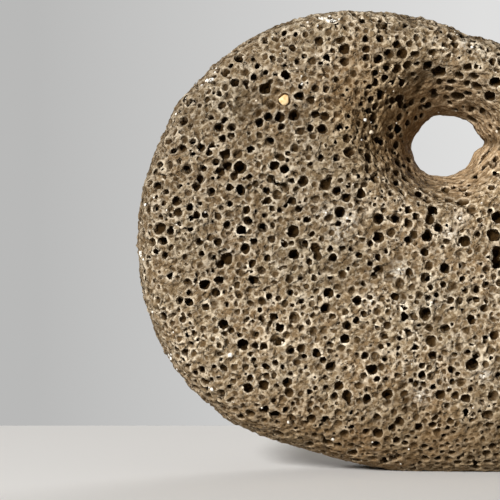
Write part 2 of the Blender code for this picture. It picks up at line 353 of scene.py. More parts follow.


# ---------------------------------------------------------------- where the bubbles are

# The clearest pores of the front face, each read off the photograph as
# (x, y, radius of its mouth) in its pixels: deep and dark, open, and shallow.
DEEP_PORES = [
    (380, 37.6, 3.8), (238, 56.5, 3.5), (292, 48, 3.3), (327, 58, 4), (366, 57, 3), (482, 47.4, 3),
    (254, 77, 3.6), (258, 66, 2.8), (285, 75, 4.8), (428, 67, 3.8), (439.5, 73.5, 5),
    (235, 82, 4.1), (246, 82, 3), (299, 96, 4.4), (392, 82.5, 3.1), (451, 83, 2.8),
    (467, 94.5, 2.8), (494, 83, 5), (268, 116, 3.8), (280, 117, 4.8), (294, 115, 5),
    (362.5, 104, 2.6), (369.5, 111, 3.2), (372, 100, 2.8), (219, 127, 3.8), (222.5, 138, 3.5),
    (260, 122, 3.8), (281, 126.5, 3.4), (310, 127.5, 3.6), (340, 127.5, 3.6), (173, 151, 3),
    (192.5, 141.5, 3), (201, 147, 4), (212, 146, 3.3), (250.5, 149.5, 3.8), (321, 158, 3),
    (204, 168, 3), (215, 162, 3.4), (220, 171, 3.9), (240, 167.5, 6), (249, 177, 3.4),
    (284, 170, 5.1), (287.5, 160, 2.4), (408, 178, 4.4), (485, 164.5, 3), (155.5, 185, 3.4),
    (165, 191.5, 2.8), (179.5, 186.5, 2.6), (240, 190, 4.8), (266.5, 191, 3.6), (278, 182, 4),
    (293, 181, 2.8), (336.5, 190.5, 4.2), (425, 189, 4), (230, 204, 2.8), (299, 209, 3.2),
    (307, 220, 3.8), (340, 212, 5.2), (379, 218.5, 4.8), (408, 210, 3.6), (416, 216.5, 3.2),
    (491, 211, 3), (498, 217.5, 6), (190.5, 229, 3), (227, 225, 3.8), (241.5, 230, 5.2),
    (379, 237.5, 5.4), (427, 235.5, 4.8), (154, 251.5, 3), (162.5, 241, 4.2), (201.5, 254, 2.8),
    (245.5, 248.5, 4.8), (302, 256.5, 2.4), (333, 257.5, 4.2), (359, 255.5, 3.4), (370, 243.5, 3.4),
    (378, 257, 3.2), (408, 240, 3.8), (442.5, 247, 2.4), (489, 258.5, 3), (498, 251.5, 6),
    (220, 264, 4), (320.5, 272.5, 2.4), (349.5, 269.5, 2.6), (370, 263.5, 2.8), (374, 275.5, 3),
    (445, 268.5, 4.8), (462.5, 265.5, 3.4), (462.5, 279, 3.2), (497, 263, 5), (205, 284.5, 5.2),
    (215.5, 292, 4), (218, 280.5, 4.2), (253.5, 280, 4.6), (290, 293, 3.4), (328, 293.5, 4.7),
    (370, 297, 3), (427.5, 297.5, 2.8), (430.5, 288.5, 2.8), (436.5, 295, 2.6), (466, 291, 2.6),
    (162, 317, 3.2), (188.5, 302.5, 4.2), (226.5, 304.5, 2.8), (274, 316.5, 4), (302, 301, 3.2),
    (357.5, 300.5, 4.8), (404, 317.5, 4.2), (405, 306.5, 3.2), (472, 319.5, 4.2), (223, 325, 4.6),
    (231, 330.5, 3.2), (280, 327.5, 5), (344.5, 339.5, 4.6), (356, 320.5, 3.2), (485.5, 339.5, 3.6),
    (243, 344.5, 5.4), (255, 346, 3), (317, 352.5, 4.6), (330, 345, 3.2), (371, 346.5, 2.4),
    (381, 347, 2.6), (385, 359.5, 3), (415, 347.5, 3.6), (433, 355.5, 4), (201, 370, 3.6),
    (219, 379, 2.6), (250.5, 378, 3.6), (253.5, 361, 3), (275.5, 363, 3), (291.5, 374, 2.9),
    (325.5, 377.5, 2.8), (330.5, 367, 4.6), (372, 370, 5.2), (422, 365.5, 3), (422.5, 375.5, 4),
    (205.5, 391, 2.8), (210.5, 381, 2.6), (248, 388.5, 4.8), (287.5, 383, 4.2), (367, 399.5, 4.2),
    (387.5, 395, 4.4), (411, 380.5, 2.6), (423.5, 385, 3), (433, 387, 3.2), (452.5, 381.5, 3),
    (240.5, 418.5, 2.8), (264, 411, 4.6), (285, 411.5, 3.2), (349.5, 413, 3), (466, 413.5, 4),
    (321, 425.5, 2.4), (350.5, 427.5, 2.8), (366, 432.5, 3.4), (392.5, 429, 3.8), (419, 428, 3.6),
    (432.5, 425.5, 3.4), (471.5, 420.5, 2.6), (328.5, 444, 3.8), (376.5, 445, 4),
    (424.5, 447.5, 2.6), (426, 459, 3.4), (392.5, 460.5, 3),
    (468.8, 430.5, 2.2), (453.8, 433.6, 1.8), (443.6, 437.1, 1.8), (415.9, 439.1, 1.7),
    (362.6, 445.3, 1.8), (431.7, 451, 2.4), (441.9, 452.7, 2), (458.6, 446.9, 1.8),
    (462.5, 456.6, 1.8), (483.6, 434.6, 2), (484.6, 448.5, 2.2), (228.6, 402, 1.8),
    (277.4, 424.1, 2), (292.8, 404.6, 2), (299.4, 439.9, 2.1),
]
OPEN_PORES = [
    (380.4, 91, 2.6), (368, 94, 2.8), (391.5, 127.8, 3.3), (401.3, 135.2, 2.3), (423.3, 101, 2.5),
    (476, 66.6, 2.8), (484.6, 59.2, 2.4), (378, 167, 3), (385.3, 180.5, 3.8), (385, 158.5, 2.5),
    (400, 117, 3.3), (394, 150, 2.2), (489, 127, 2.3), (497, 131, 3.2), (492, 112, 2.2),
    (275, 38, 3), (305, 33, 3.4), (341, 39.5, 4.4), (366, 38, 3.6), (387, 30.6, 3.2),
    (398, 36.4, 3), (399, 27, 3), (416.5, 36.4, 3.2), (265, 40, 3.3), (319, 40.5, 4.6),
    (345, 48.5, 5.4), (366, 48.5, 3.7), (378.5, 59, 5), (389, 53.5, 5.2), (397, 44, 4),
    (403, 54, 4.8), (410, 43, 3.2), (416, 55, 4.2), (433, 53.5, 3.7), (445, 44, 3.2),
    (456, 42.7, 3.7), (224, 71, 4.2), (297, 61, 3), (344.5, 61, 4.8), (385, 78.5, 4),
    (397.5, 69.5, 4.6), (408, 66, 4.2), (459.5, 76.5, 4), (467, 68, 4.2), (473.5, 77, 4),
    (492.5, 61, 3.8), (207, 99.5, 3.2), (220, 94, 3.8), (255, 89, 3.7), (265, 88, 5.4),
    (311, 99.5, 4.6), (315.5, 88, 4.3), (326, 88.5, 3.8), (328, 99, 3.6), (376, 83, 3.6),
    (381.5, 96, 4.5), (435, 97, 3), (449, 90, 3.2), (457.5, 97.5, 4.8), (476, 87.5, 4.4),
    (211, 117, 3.2), (222, 105, 3.8), (258, 112, 4.8), (271, 105, 4.8), (315, 113.5, 4),
    (325, 116, 4.8), (374.5, 118.5, 4.8), (376.5, 106.5, 3.4), (182, 120, 4.2), (231.5, 127.5, 4.4),
    (259.5, 135, 3.3), (300, 131, 4.7), (313, 136, 3.5), (322, 128.5, 4.8), (347, 138, 4.7),
    (357, 130, 3), (471.5, 120, 4.5), (192, 155, 3), (225, 154, 5.3), (270, 141, 5.2),
    (280, 157, 4.2), (295, 148, 4.8), (308.5, 157.5, 3), (336.5, 157.5, 3.4), (349, 152, 5.4),
    (370, 157.5, 5), (169.5, 164.5, 3.4), (234, 176, 4), (271, 179, 4.4), (274, 165, 5.1),
    (375, 179, 4.6), (474, 174.5, 3), (196, 186.5, 4.2), (211, 192, 4.4), (230, 187, 4.1),
    (256, 184, 3.4), (303, 181, 5.4), (325, 185, 5.2), (346, 198, 4.4), (348, 185.5, 3.2),
    (357, 185.5, 3), (362, 193.5, 5.3), (364.5, 185, 3.8), (391, 193, 3.2), (402, 193, 3.4),
    (176.5, 201, 4.7), (178, 212.5, 4.6), (190, 207, 4.2), (197, 215, 4), (218, 216.5, 3.8),
    (247, 210, 4), (267, 201, 4.2), (292, 201, 4.2), (360.5, 210.5, 3.8), (383, 210.5, 3),
    (396, 218.5, 5.4), (430, 219.5, 5.2), (433, 207.5, 4.6), (463, 200.5, 4.8), (158.5, 228.5, 6.4),
    (248, 221, 4.6), (262.5, 227.5, 5), (271.5, 239, 4), (293, 231.5, 6), (322, 239, 3.1),
    (391, 232.5, 4.4), (408, 223.5, 4.4), (413.5, 234, 4.2), (438.5, 228, 4.4), (494, 235, 6.4),
    (151, 242, 4), (164.5, 256, 3.8), (185, 257, 3.4), (199.5, 242, 4.2), (218, 242.5, 4.6),
    (227, 259, 6), (253.5, 241, 4.2), (267.5, 258, 3.6), (283.5, 243.5, 3.8), (292, 243, 3.2),
    (294, 255, 5), (315.5, 248, 4.8), (317.5, 256.5, 4.6), (330, 249, 3.4), (351, 249, 3.6),
    (362.5, 240, 3), (447, 241, 3.8), (465, 241, 5.8), (470, 251.5, 3.2), (239, 265, 3.4),
    (252.5, 263.5, 3.8), (289.5, 279, 4), (309.5, 261.5, 3.7), (314, 278, 3.4), (331.5, 279, 3.2),
    (342, 275, 5), (379.5, 269.5, 5.2), (409, 272.5, 4), (425.5, 277.5, 5), (429, 265.5, 4.6),
    (459, 273, 3), (187.5, 282, 3.8), (237, 285, 3.6), (269, 297, 4), (278, 298.5, 3),
    (317, 291, 3.2), (357, 283.5, 3), (412, 287, 4), (443.5, 285, 3.2), (476.5, 299.5, 3.6),
    (172.5, 316, 3), (179, 300.5, 4), (179, 309.5, 3), (206, 307, 3.6), (250.5, 303, 3.2),
    (260, 310.5, 3), (262, 301, 4.8), (285, 303.5, 3.6), (325, 308, 4.8), (332.5, 316.5, 3.2),
    (345.5, 312, 3.6), (363.5, 314, 3.2), (377, 311.5, 4), (413.5, 317, 4.4), (450.5, 300.5, 3.6),
    (460, 301, 3.4), (464, 311.5, 3.2), (484.5, 308.5, 4.2), (171, 323.5, 3), (183, 320, 3.6),
    (194, 332.5, 3), (308.5, 322.5, 3.4), (347, 325.5, 4.8), (387.5, 325, 4.2), (408.5, 332, 4.6),
    (430, 328, 4), (445.5, 328.5, 4.8), (494.5, 335.5, 4.8), (184, 353.5, 4), (290.5, 350.5, 4.6),
    (301.5, 349, 4.6), (304.5, 357.5, 3), (357, 340.5, 4), (365, 356.5, 3.6), (431.5, 341.5, 5.8),
    (214, 367.5, 3), (223, 368, 3.6), (246, 367.5, 3.3), (266.5, 376.5, 3.8), (274, 375.5, 3.4),
    (297, 363, 4.3), (364, 376, 3.4), (398, 376, 3.2), (452, 370, 3.8), (457.5, 365, 3.2),
    (458, 374.5, 3), (472, 365, 6.5), (204, 383, 4), (229, 388, 3.6), (263.5, 385.5, 5),
    (289.5, 393, 4.8), (334.5, 396.5, 4), (339, 386, 4.6), (347, 395.5, 5.4), (404, 394.5, 4),
    (440.5, 394.5, 5.2), (456, 395.5, 3.8), (466, 398, 5), (250.5, 415, 4), (257, 406, 3),
    (275, 416, 5.4), (311.5, 419.5, 4.5), (325, 419.5, 4.4), (378, 418, 4), (406.5, 401.5, 4.4),
    (406.5, 411, 4.6), (417, 418.5, 3.6), (435, 418, 3.4), (447, 406, 3.6), (378, 434, 5),
    (399.5, 423, 5), (450.5, 422, 3.6), (489.5, 425.5, 3.4), (326.5, 443, 4), (352, 453.5, 4),
    (396.5, 441, 3.8), (487, 454.5, 4),
    (451.8, 453.7, 3), (492.8, 446.9, 3.8), (321.5, 401.5, 2.8), (314.4, 436.4, 3),
    (299, 433.3, 2), (278.5, 435.4, 4),
]
SHALLOW_PORES = [
    (382, 23.5, 5.5), (228, 96, 4.5), (276, 91, 4.9), (242, 118, 4.4), (208, 152, 4),
    (237, 154, 5.3), (187, 169, 5.6), (201, 178, 5), (226, 164.5, 6.4), (314, 184, 4),
    (229.5, 214.5, 5), (472, 209.5, 5.8), (169.5, 233.5, 5.5), (212, 256.5, 5), (302, 244.5, 5.2),
    (400, 258, 4.6), (415.5, 255.5, 4.8), (425.5, 250, 5.2), (470, 259, 3.4), (199.5, 265, 4),
    (241, 272.5, 4.6), (261.5, 270.5, 4.6), (302, 278, 4.6), (199, 298.5, 4), (337, 286, 4.6),
    (399, 283.5, 6.6), (401.5, 298, 6), (453, 286.5, 6.2), (475.5, 289.5, 5), (214, 303, 4.2),
    (294.5, 318, 6), (425.5, 314, 7), (323.5, 331, 4), (362.5, 325.5, 4), (467, 330.5, 4.6),
    (263.5, 346.5, 4.8), (275.5, 340.5, 6), (375.5, 356.5, 5), (459.5, 347, 4.4), (234, 368, 4),
    (268, 367.5, 5), (381, 367, 5), (431.5, 376.5, 4.4), (220.5, 394.5, 4.6), (460.5, 382.5, 5.4),
    (351, 403, 4.2), (387.5, 404, 6), (487.5, 415.5, 6),
    (344.1, 434.6, 4.8), (437.4, 432.6, 4.6), (441.5, 441.8, 3), (372.8, 459, 3.8), (420, 453, 3),
    (448.7, 459.6, 3.4), (471.3, 459.2, 3.8), (472.3, 440.4, 2.8), (301, 393.3, 4.4),
    (304.1, 424.1, 3.6), (310.3, 441.5, 2.8), (273.3, 429.2, 2.6), (335, 455, 3), (405, 450, 2.8),
]

# Grooves and chips that run along Y: x and y in the photograph, radius there, and
# in mm the middle and half length along Y. The first is the notch in the top edge,
# the next three are the sharp corner at the right of the hole.
GROOVES = [
    (374.6, 16.2, 3.4, 0.0, 9.0),
    (477.5, 143.0, 4.6, 2.0, 9.0), (480.8, 142.4, 2.7, 2.0, 8.0), (482.9, 142.3, 1.5, 2.0, 7.0),
    (466.3, 121.0, 2.4, 6.0, 6.0),
]

# Drawn-out pores on the lower right wall of the hole: x, y, radius, tilt of the
# long axis in degrees and how long it is for its width.
SLANTED_PORES = [
    (405.0, 107.0, 2.2, 60.0, 1.7), (411.0, 103.5, 2.2, 58.0, 1.7), (378.0, 140.0, 2.9, 15.0, 1.5),
    (406.0, 124.0, 3.0, 85.0, 1.3), (455.0, 110.5, 2.6, 100.0, 1.2), (471.5, 109.0, 2.2, 5.0, 1.8),
    (487.0, 152.0, 2.7, 62.0, 1.5), (484.6, 165.6, 3.7, 55.0, 1.3), (480.8, 161.0, 2.3, 58.0, 1.6),
    (474.4, 174.4, 3.2, 58.0, 1.35), (461.3, 181.3, 2.3, 40.0, 1.3), (492.5, 158.5, 2.3, 60.0, 1.5),
    (468.5, 184.0, 1.9, 45.0, 1.4), (494.5, 172.0, 2.7, 40.0, 1.2), (454.5, 186.5, 2.1, 15.0, 1.4),
    (447.0, 182.0, 1.8, 5.0, 1.5), (489.5, 147.0, 1.8, 70.0, 1.4),
]

# Patches of pale dust on the front: x, y and radius in pixels.
DUST = [
    (326, 213, 7), (347, 219.5, 9), (399.5, 269, 7), (460.7, 218, 6), (449, 233.6, 6),
    (431, 302, 6), (371, 301, 6), (420, 396, 7), (426, 394, 5), (484, 376, 6), (396, 271, 5),
    (466, 43, 6), (478, 47, 5), (341, 236, 6), (336, 228, 5), (230, 252, 4),
]


def trace(envelope, px, py):
    """Points where the view rays through pixels meet the envelope, and if they do."""
    d = pixel_ray(px, py)
    start = CAMERA + d * ((-40.0 - CAMERA[1]) / d[:, 1:2])
    way = np.zeros(len(d))
    for _ in range(80):
        way += np.clip(envelope.at(start + d * way[:, None]), -1.0, 8.0)
    p = start + d * way[:, None]
    return p, np.abs(envelope.at(p)) < 0.05


class Bubbles:
    """Ellipsoids to cut out: centre, mean radius, and a matrix that squares them up."""

    def __init__(self, seed):
        self.rng = np.random.default_rng(seed)
        self.centre, self.radius, self.shape = [], [], []

    def put(self, centre, radius, stretch=0.12, along=None, ratio=1.0):
        r = self.rng
        q, _ = np.linalg.qr(r.normal(size=(3, 3)))
        scale = np.exp(r.normal(0.0, stretch, 3))
        scale /= np.prod(scale) ** (1 / 3)
        m = q @ np.diag(1.0 / scale) @ q.T
        if along is not None:
            a = np.asarray(along)[:, None]
            m = m @ (np.eye(3) + (1.0 / ratio - 1.0) * (a @ a.T))
        self.centre.append(np.array(centre, float))
        self.radius.append(float(radius))
        self.shape.append(m)

    def pore(self, point, out, mouth, sink, depth=0, **shape):
        """A pore with a mouth of a given radius; sink is -1 (shallow) to 1 (deep).

        depth more bubbles open off the back of it.
        """
        r = self.rng
        radius = mouth / math.sqrt(1.0 - sink * sink)
        centre = point - out * sink * radius
        self.put(centre, radius, **shape)
        for _ in range(depth):
            way = -out + r.normal(0.0, 0.28, 3)
            way /= np.linalg.norm(way)
            inner = radius * r.uniform(0.72, 0.98)
            centre = centre + way * (radius + inner) * r.uniform(0.68, 0.8)
            radius = inner
            self.put(centre, radius)

    def eye(self, point, out, mouth):
        """A small dark window low in a shallow pore, into a bubble behind it."""
        r = self.rng
        side = np.cross(out, r.normal(size=3))
        side /= np.linalg.norm(side)
        inner = mouth * r.uniform(0.55, 0.8)
        self.put(point - out * (0.55 * mouth + inner * 0.8) + side * mouth * 0.45, inner)


def scatter_bubbles(envelope, points, quads):
    """All bubbles: those read off the photograph, then seeded random ones everywhere."""
    bubbles = Bubbles(4)
    rng = bubbles.rng
    taken_at, taken_mouth = [], []

    for rows, low, high, deep in ((DEEP_PORES, 0.35, 0.62, 1), (OPEN_PORES, 0.10, 0.45, 0),
                                  (SHALLOW_PORES, -0.35, -0.05, 0)):
        rows = np.array(rows, float)
        point, met = trace(envelope, rows[:, 0], rows[:, 1])
        out = envelope.slope(point)
        for p, n, ok, row in zip(point, out, met, rows):
            if not ok:
                continue
            mouth = row[2] * (620.0 + p[1]) / PIXELS_PER_UNIT
            mouth *= min(max(-n[1], 0.3) ** -0.5, 1.45)     # seen aslant, it looks smaller
            chance = rng.random()
            more = deep if deep else int(chance < 0.25)
            bubbles.pore(p - n * INSET, n, mouth, rng.uniform(low, high), more, stretch=0.06)
            if rows is SHALLOW_PORES and chance > 0.75:
                bubbles.eye(p - n * INSET, n, mouth)
            taken_at.append(p)
            taken_mouth.append(mouth)

    # The pebble's pore, the same as in the CAD.
    spot = np.array([PORE[0], 0.0, PORE[1]])
    spot[1] = -float(face_height(spot[None, 0], spot[None, 2], 0)[0])
    taken_at.append(spot)
    taken_mouth.append(PORE_RADIUS)

    # Random ones: big before small, none too close to those already there.
    a, b, c, d = (points[quads[:, k]] for k in range(4))
    area = 0.5 * (np.linalg.norm(np.cross(b - a, c - a), axis=1)
                  + np.linalg.norm(np.cross(c - a, d - a), axis=1))
    tries = 120000
    face = rng.choice(len(quads), tries, p=area / area.sum())
    u, v = rng.random((2, tries, 1))
    spots = (a[face] * (1 - u) + b[face] * u) * (1 - v) + (d[face] * (1 - u) + c[face] * u) * v
    out = envelope.slope(spots)
    from_hole = np.hypot(spots[:, 0] - HOLE[0], spots[:, 2] - HOLE[1])
    in_throat = from_hole < 17.0
    in_view = (spots[:, 0] < 27.0) & (spots[:, 1] < 3.0)
    # The open face, whose clear pores are all in the lists above, and its rim.
    face_on = in_view & (out[:, 1] < -0.80) & (from_hole > 17.0)
    # How often a try is passed over: the upper rim and the funnel are more closed.
    passed = np.where(face_on, 0.15, np.where(in_view & (out[:, 1] < 0.15), 0.32, 0.10))
    passed = np.where(~face_on & in_view & (spots[:, 2] < 45.0), 0.05, passed)
    passed = np.where((from_hole < 30.0) & (spots[:, 1] < 0.0), 0.60, passed)
    passed = np.where(in_throat, 0.72, passed)
    funnel = (from_hole < 26.0) & (spots[:, 1] < 0.0)
    narrow = in_throat & (np.abs(spots[:, 1]) < 6.0)
    cells = {}

    def clear(p, mouth, slack):
        key = tuple((p // 6.0).astype(int))
        for i in range(key[0] - 1, key[0] + 2):
            for j in range(key[1] - 1, key[1] + 2):
                for k in range(key[2] - 1, key[2] + 2):
                    for q, m in cells.get((i, j, k), ()):
                        if (p[0] - q[0]) ** 2 + (p[1] - q[1]) ** 2 + (p[2] - q[2]) ** 2 \
                                < (mouth + m + slack) ** 2:
                            return False
        return True

    def occupy(p, mouth):
        cells.setdefault(tuple((p // 6.0).astype(int)), []).append((p, mouth))

    for p, m in zip(taken_at, taken_mouth):
        occupy(p, m)
    # Mouth radius in mm, share of tries, and how many are wanted.
    start = 0
    for low, high, count in ((1.75, 2.25, 100), (1.4, 1.75, 600), (1.05, 1.4, 2000),
                             (0.75, 1.05, 2500), (0.48, 0.75, 2700)):
        placed = 0
        for i in range(start, tries):
            if placed == count:
                break
            if spots[i, 2] < -0.5:
                continue
            mouth = rng.uniform(low, high)
            if in_throat[i] and mouth > 1.5 or rng.random() < passed[i]:
                continue
            if high < 0.8 and not in_view[i] and rng.random() < 0.6:
                continue
            if high < 1.1 and funnel[i] and rng.random() < 0.7:
                continue
            if narrow[i] and (mouth > 0.9 or rng.random() < 0.5):
                continue
            kind = rng.random()
            if face_on[i]:
                kind = rng.uniform(0.72, 1.0) if mouth > 1.05 else kind ** 0.75
            if funnel[i] and mouth > 0.9:
                kind *= 0.6
            slack = rng.uniform(-0.10, 0.35) if kind < 0.68 else rng.uniform(-0.30, 0.35)
            if not clear(spots[i], mouth, slack * mouth):
                continue
            sink = rng.uniform(0.3, 0.65) if kind < 0.30 else rng.uniform(-0.1, 0.35) \
                if kind < 0.68 else rng.uniform(-0.45, 0.0)
            more = 1 if kind < 0.26 and mouth > 0.7 else int(kind < 0.68 and rng.random() < 0.12)
            shape = {}
            inset = INSET
            if in_throat[i] or funnel[i]:
                shape = {"along": (0.0, 1.0, 0.0), "ratio": rng.uniform(1.3, 2.2)}
                inset = 0.1 if in_throat[i] else INSET
            mouth_at = spots[i] - out[i] * inset
            bubbles.pore(mouth_at, out[i], mouth, sink, more, stretch=0.13, **shape)
            if sink < 0 and mouth > 1.1 and rng.random() < 0.2:
                bubbles.eye(mouth_at, out[i], mouth)
            occupy(spots[i], mouth)
            placed += 1
        start = i
        say("pores of %.2f to %.2f mm: %d" % (low, high, placed))

    for px, py, radius, tilt, ratio in SLANTED_PORES:
        point, met = trace(envelope, [px], [py])
        if not met[0]:
            continue
        n = envelope.slope(point)[0]
        way = np.array([math.cos(math.radians(tilt)), 0.0, math.sin(math.radians(tilt))])
        way -= n * (way @ n)
        way /= np.linalg.norm(way)
        mouth = 1.1 * radius * (620.0 + point[0, 1]) / PIXELS_PER_UNIT
        # These run steeply into the wall, more along Y than straight in.
        out = 0.45 * n + np.array([-0.10, -0.75, 0.0])
        out /= np.linalg.norm(out)
        bubbles.pore(point[0] - n * 0.1, out, mouth, 0.55, 2, stretch=0.0, along=way, ratio=ratio)

    for px, py, radius, middle, half in GROOVES:
        d = pixel_ray([px], [py])[0]
        p = CAMERA + d * ((middle - CAMERA[1]) / d[1])
        radius *= (620.0 + middle) / PIXELS_PER_UNIT
        bubbles.put(p, radius, 0.0, (0.0, 1.0, 0.0), half / radius)
    return bubbles


# ---------------------------------------------------------------- the stone's skin

STEP = 0.36                  # grid of the carved field, mm
# Triangles of the finished skin: the side that the picture shows, the rest, in the pores.
SHARES = (110000, 68000, 16000)
EDGE = 0.14                                     # rounding where a bubble meets the surface
INSET = 0.36                                    # how far below the CAD face the skin lies, mm


def carve(field, low, step, bubbles):
    """Cuts each bubble out of the field, with a slightly rounded edge."""
    shape = np.array(field.shape)
    axes = [low[k] + step * np.arange(shape[k]) for k in range(3)]
    for c, radius, m in zip(bubbles.centre, bubbles.radius, bubbles.shape):
        reach = radius * np.linalg.norm(np.linalg.inv(m), axis=1) + 3 * step
        i = np.maximum(np.ceil((c - reach - low) / step).astype(int), 0)
        j = np.minimum(np.floor((c + reach - low) / step).astype(int) + 1, shape)
        if (j <= i).any():
            continue
        x, y, z = (axes[k][i[k]:j[k]] - c[k] for k in range(3))
        x, y, z = x[:, None, None], y[None, :, None], z[None, None, :]
        g = m.T @ m
        square = (g[0, 0] * x * x + g[1, 1] * y * y + g[2, 2] * z * z
                  + 2 * (g[0, 1] * x * y + g[0, 2] * x * z + g[1, 2] * y * z))
        cut = (radius - np.sqrt(square)).astype(np.float32)
        block = field[i[0]:j[0], i[1]:j[1], i[2]:j[2]]
        near = np.maximum(EDGE - np.abs(block - cut), 0.0) / EDGE
        np.maximum(block, cut, out=block)
        block += near * near * np.float32(EDGE * 0.25)


def mesh_of(field, low, step):
    """Closed mesh of the field's zero surface, as points in mm and quads."""
    band = np.float32(3.5 * step)
    grid = vdb.FloatGrid(float(band))
    grid.transform = vdb.createLinearTransform(step)
    grid.copyFromArray(np.clip(field, -band, band), ijk=(0, 0, 0))
    points, _, quads = grid.convertToPolygons(isovalue=0.0, adaptivity=0.0)
    return points + np.array(low, np.float32), quads


def new_mesh(name, points, faces):
    """Blender mesh from points in metres and an array of same-sized faces."""
    size = faces.shape[1]
    mesh = bpy.data.meshes.new(name)
    mesh.vertices.add(len(points))
    mesh.vertices.foreach_set("co", np.ascontiguousarray(points, np.float32).ravel())
    mesh.loops.add(len(faces) * size)
    mesh.loops.foreach_set("vertex_index", np.ascontiguousarray(faces, np.int32).ravel())
    mesh.polygons.add(len(faces))
    mesh.polygons.foreach_set("loop_start", np.arange(0, len(faces) * size, size, dtype=np.int32))
    mesh.update(calc_edges=True)
    return mesh


def link(name, mesh):
    obj = bpy.data.objects.new(name, mesh)
    bpy.context.scene.collection.objects.link(obj)
    return obj


def vertices_of(mesh):
    co = np.empty(len(mesh.vertices) * 3, np.float32)
    mesh.vertices.foreach_get("co", co)
    return co.reshape(-1, 3)


def triangles_of(mesh):
    mesh.calc_loop_triangles()
    t = np.empty(len(mesh.loop_triangles) * 3, np.int32)
    mesh.loop_triangles.foreach_get("vertices", t)
    return t.reshape(-1, 3)


def biggest_piece(count, tri):
    """Which vertices belong to the largest connected piece."""
    label = np.arange(count)
    while True:
        low = np.minimum(np.minimum(label[tri[:, 0]], label[tri[:, 1]]), label[tri[:, 2]])
        new = label.copy()
        for k in range(3):
            np.minimum.at(new, tri[:, k], low)
        new = new[new]
        if (new == label).all():
            break
        label = new
    names, sizes = np.unique(label, return_counts=True)
    return label == names[sizes.argmax()]


def collapsed(mesh, free, faces):
    """Copy of a mesh with its free vertices (or all) merged down to a number of faces."""
    obj = link("thinning", mesh)
    thin = obj.modifiers.new("thin", 'DECIMATE')
    thin.decimate_type = 'COLLAPSE'
    thin.ratio = min(faces / float(sum(mesh_sides(mesh) - 2)), 1.0)
    thin.use_collapse_triangulate = True
    obj.vertex_groups.clear()
    if free is not None:
        group = obj.vertex_groups.new(name="thin")
        group.add(np.nonzero(free)[0].tolist(), 1.0, 'REPLACE')
        thin.vertex_group = "thin"
    graph = bpy.context.evaluated_depsgraph_get()
    out = bpy.data.meshes.new_from_object(obj.evaluated_get(graph))
    bpy.data.objects.remove(obj)
    bpy.data.meshes.remove(mesh)
    return out


def mesh_sides(mesh):
    sides = np.empty(len(mesh.polygons), np.int32)
    mesh.polygons.foreach_get("loop_total", sides)
    return sides


def importance(points, envelope):
    """0 on the outside that the picture shows, 1 on the rest of it, 2 inside the pores."""
    rank = np.where((points[:, 0] < 27.0) & (points[:, 1] < 3.0), 0, 1)
    return np.where(envelope.at(points) < -1.9, 2, rank)


def thinned(mesh, envelope, shares):
    """Copy of a mesh thinned out so that each rank of importance gets its share."""
    for rank in (2, 1, 0):
        points = vertices_of(mesh) / MM
        free = importance(points, envelope) >= rank
        loops = np.empty(len(mesh.loops), np.int32)
        mesh.loops.foreach_get("vertex_index", loops)
        sides = mesh_sides(mesh)
        start = np.concatenate([[0], np.cumsum(sides)[:-1]])
        inside = np.minimum.reduceat(free[loops].astype(np.int32), start) > 0
        fixed = int((sides[~inside] - 2).sum())
        goal = sum(shares) if rank == 0 else fixed + sum(shares[rank:])
        mesh = collapsed(mesh, free if rank else None, goal)
        say("thinned rank %d: %d fixed, %d faces" % (rank, fixed, len(mesh.polygons)))
    return mesh


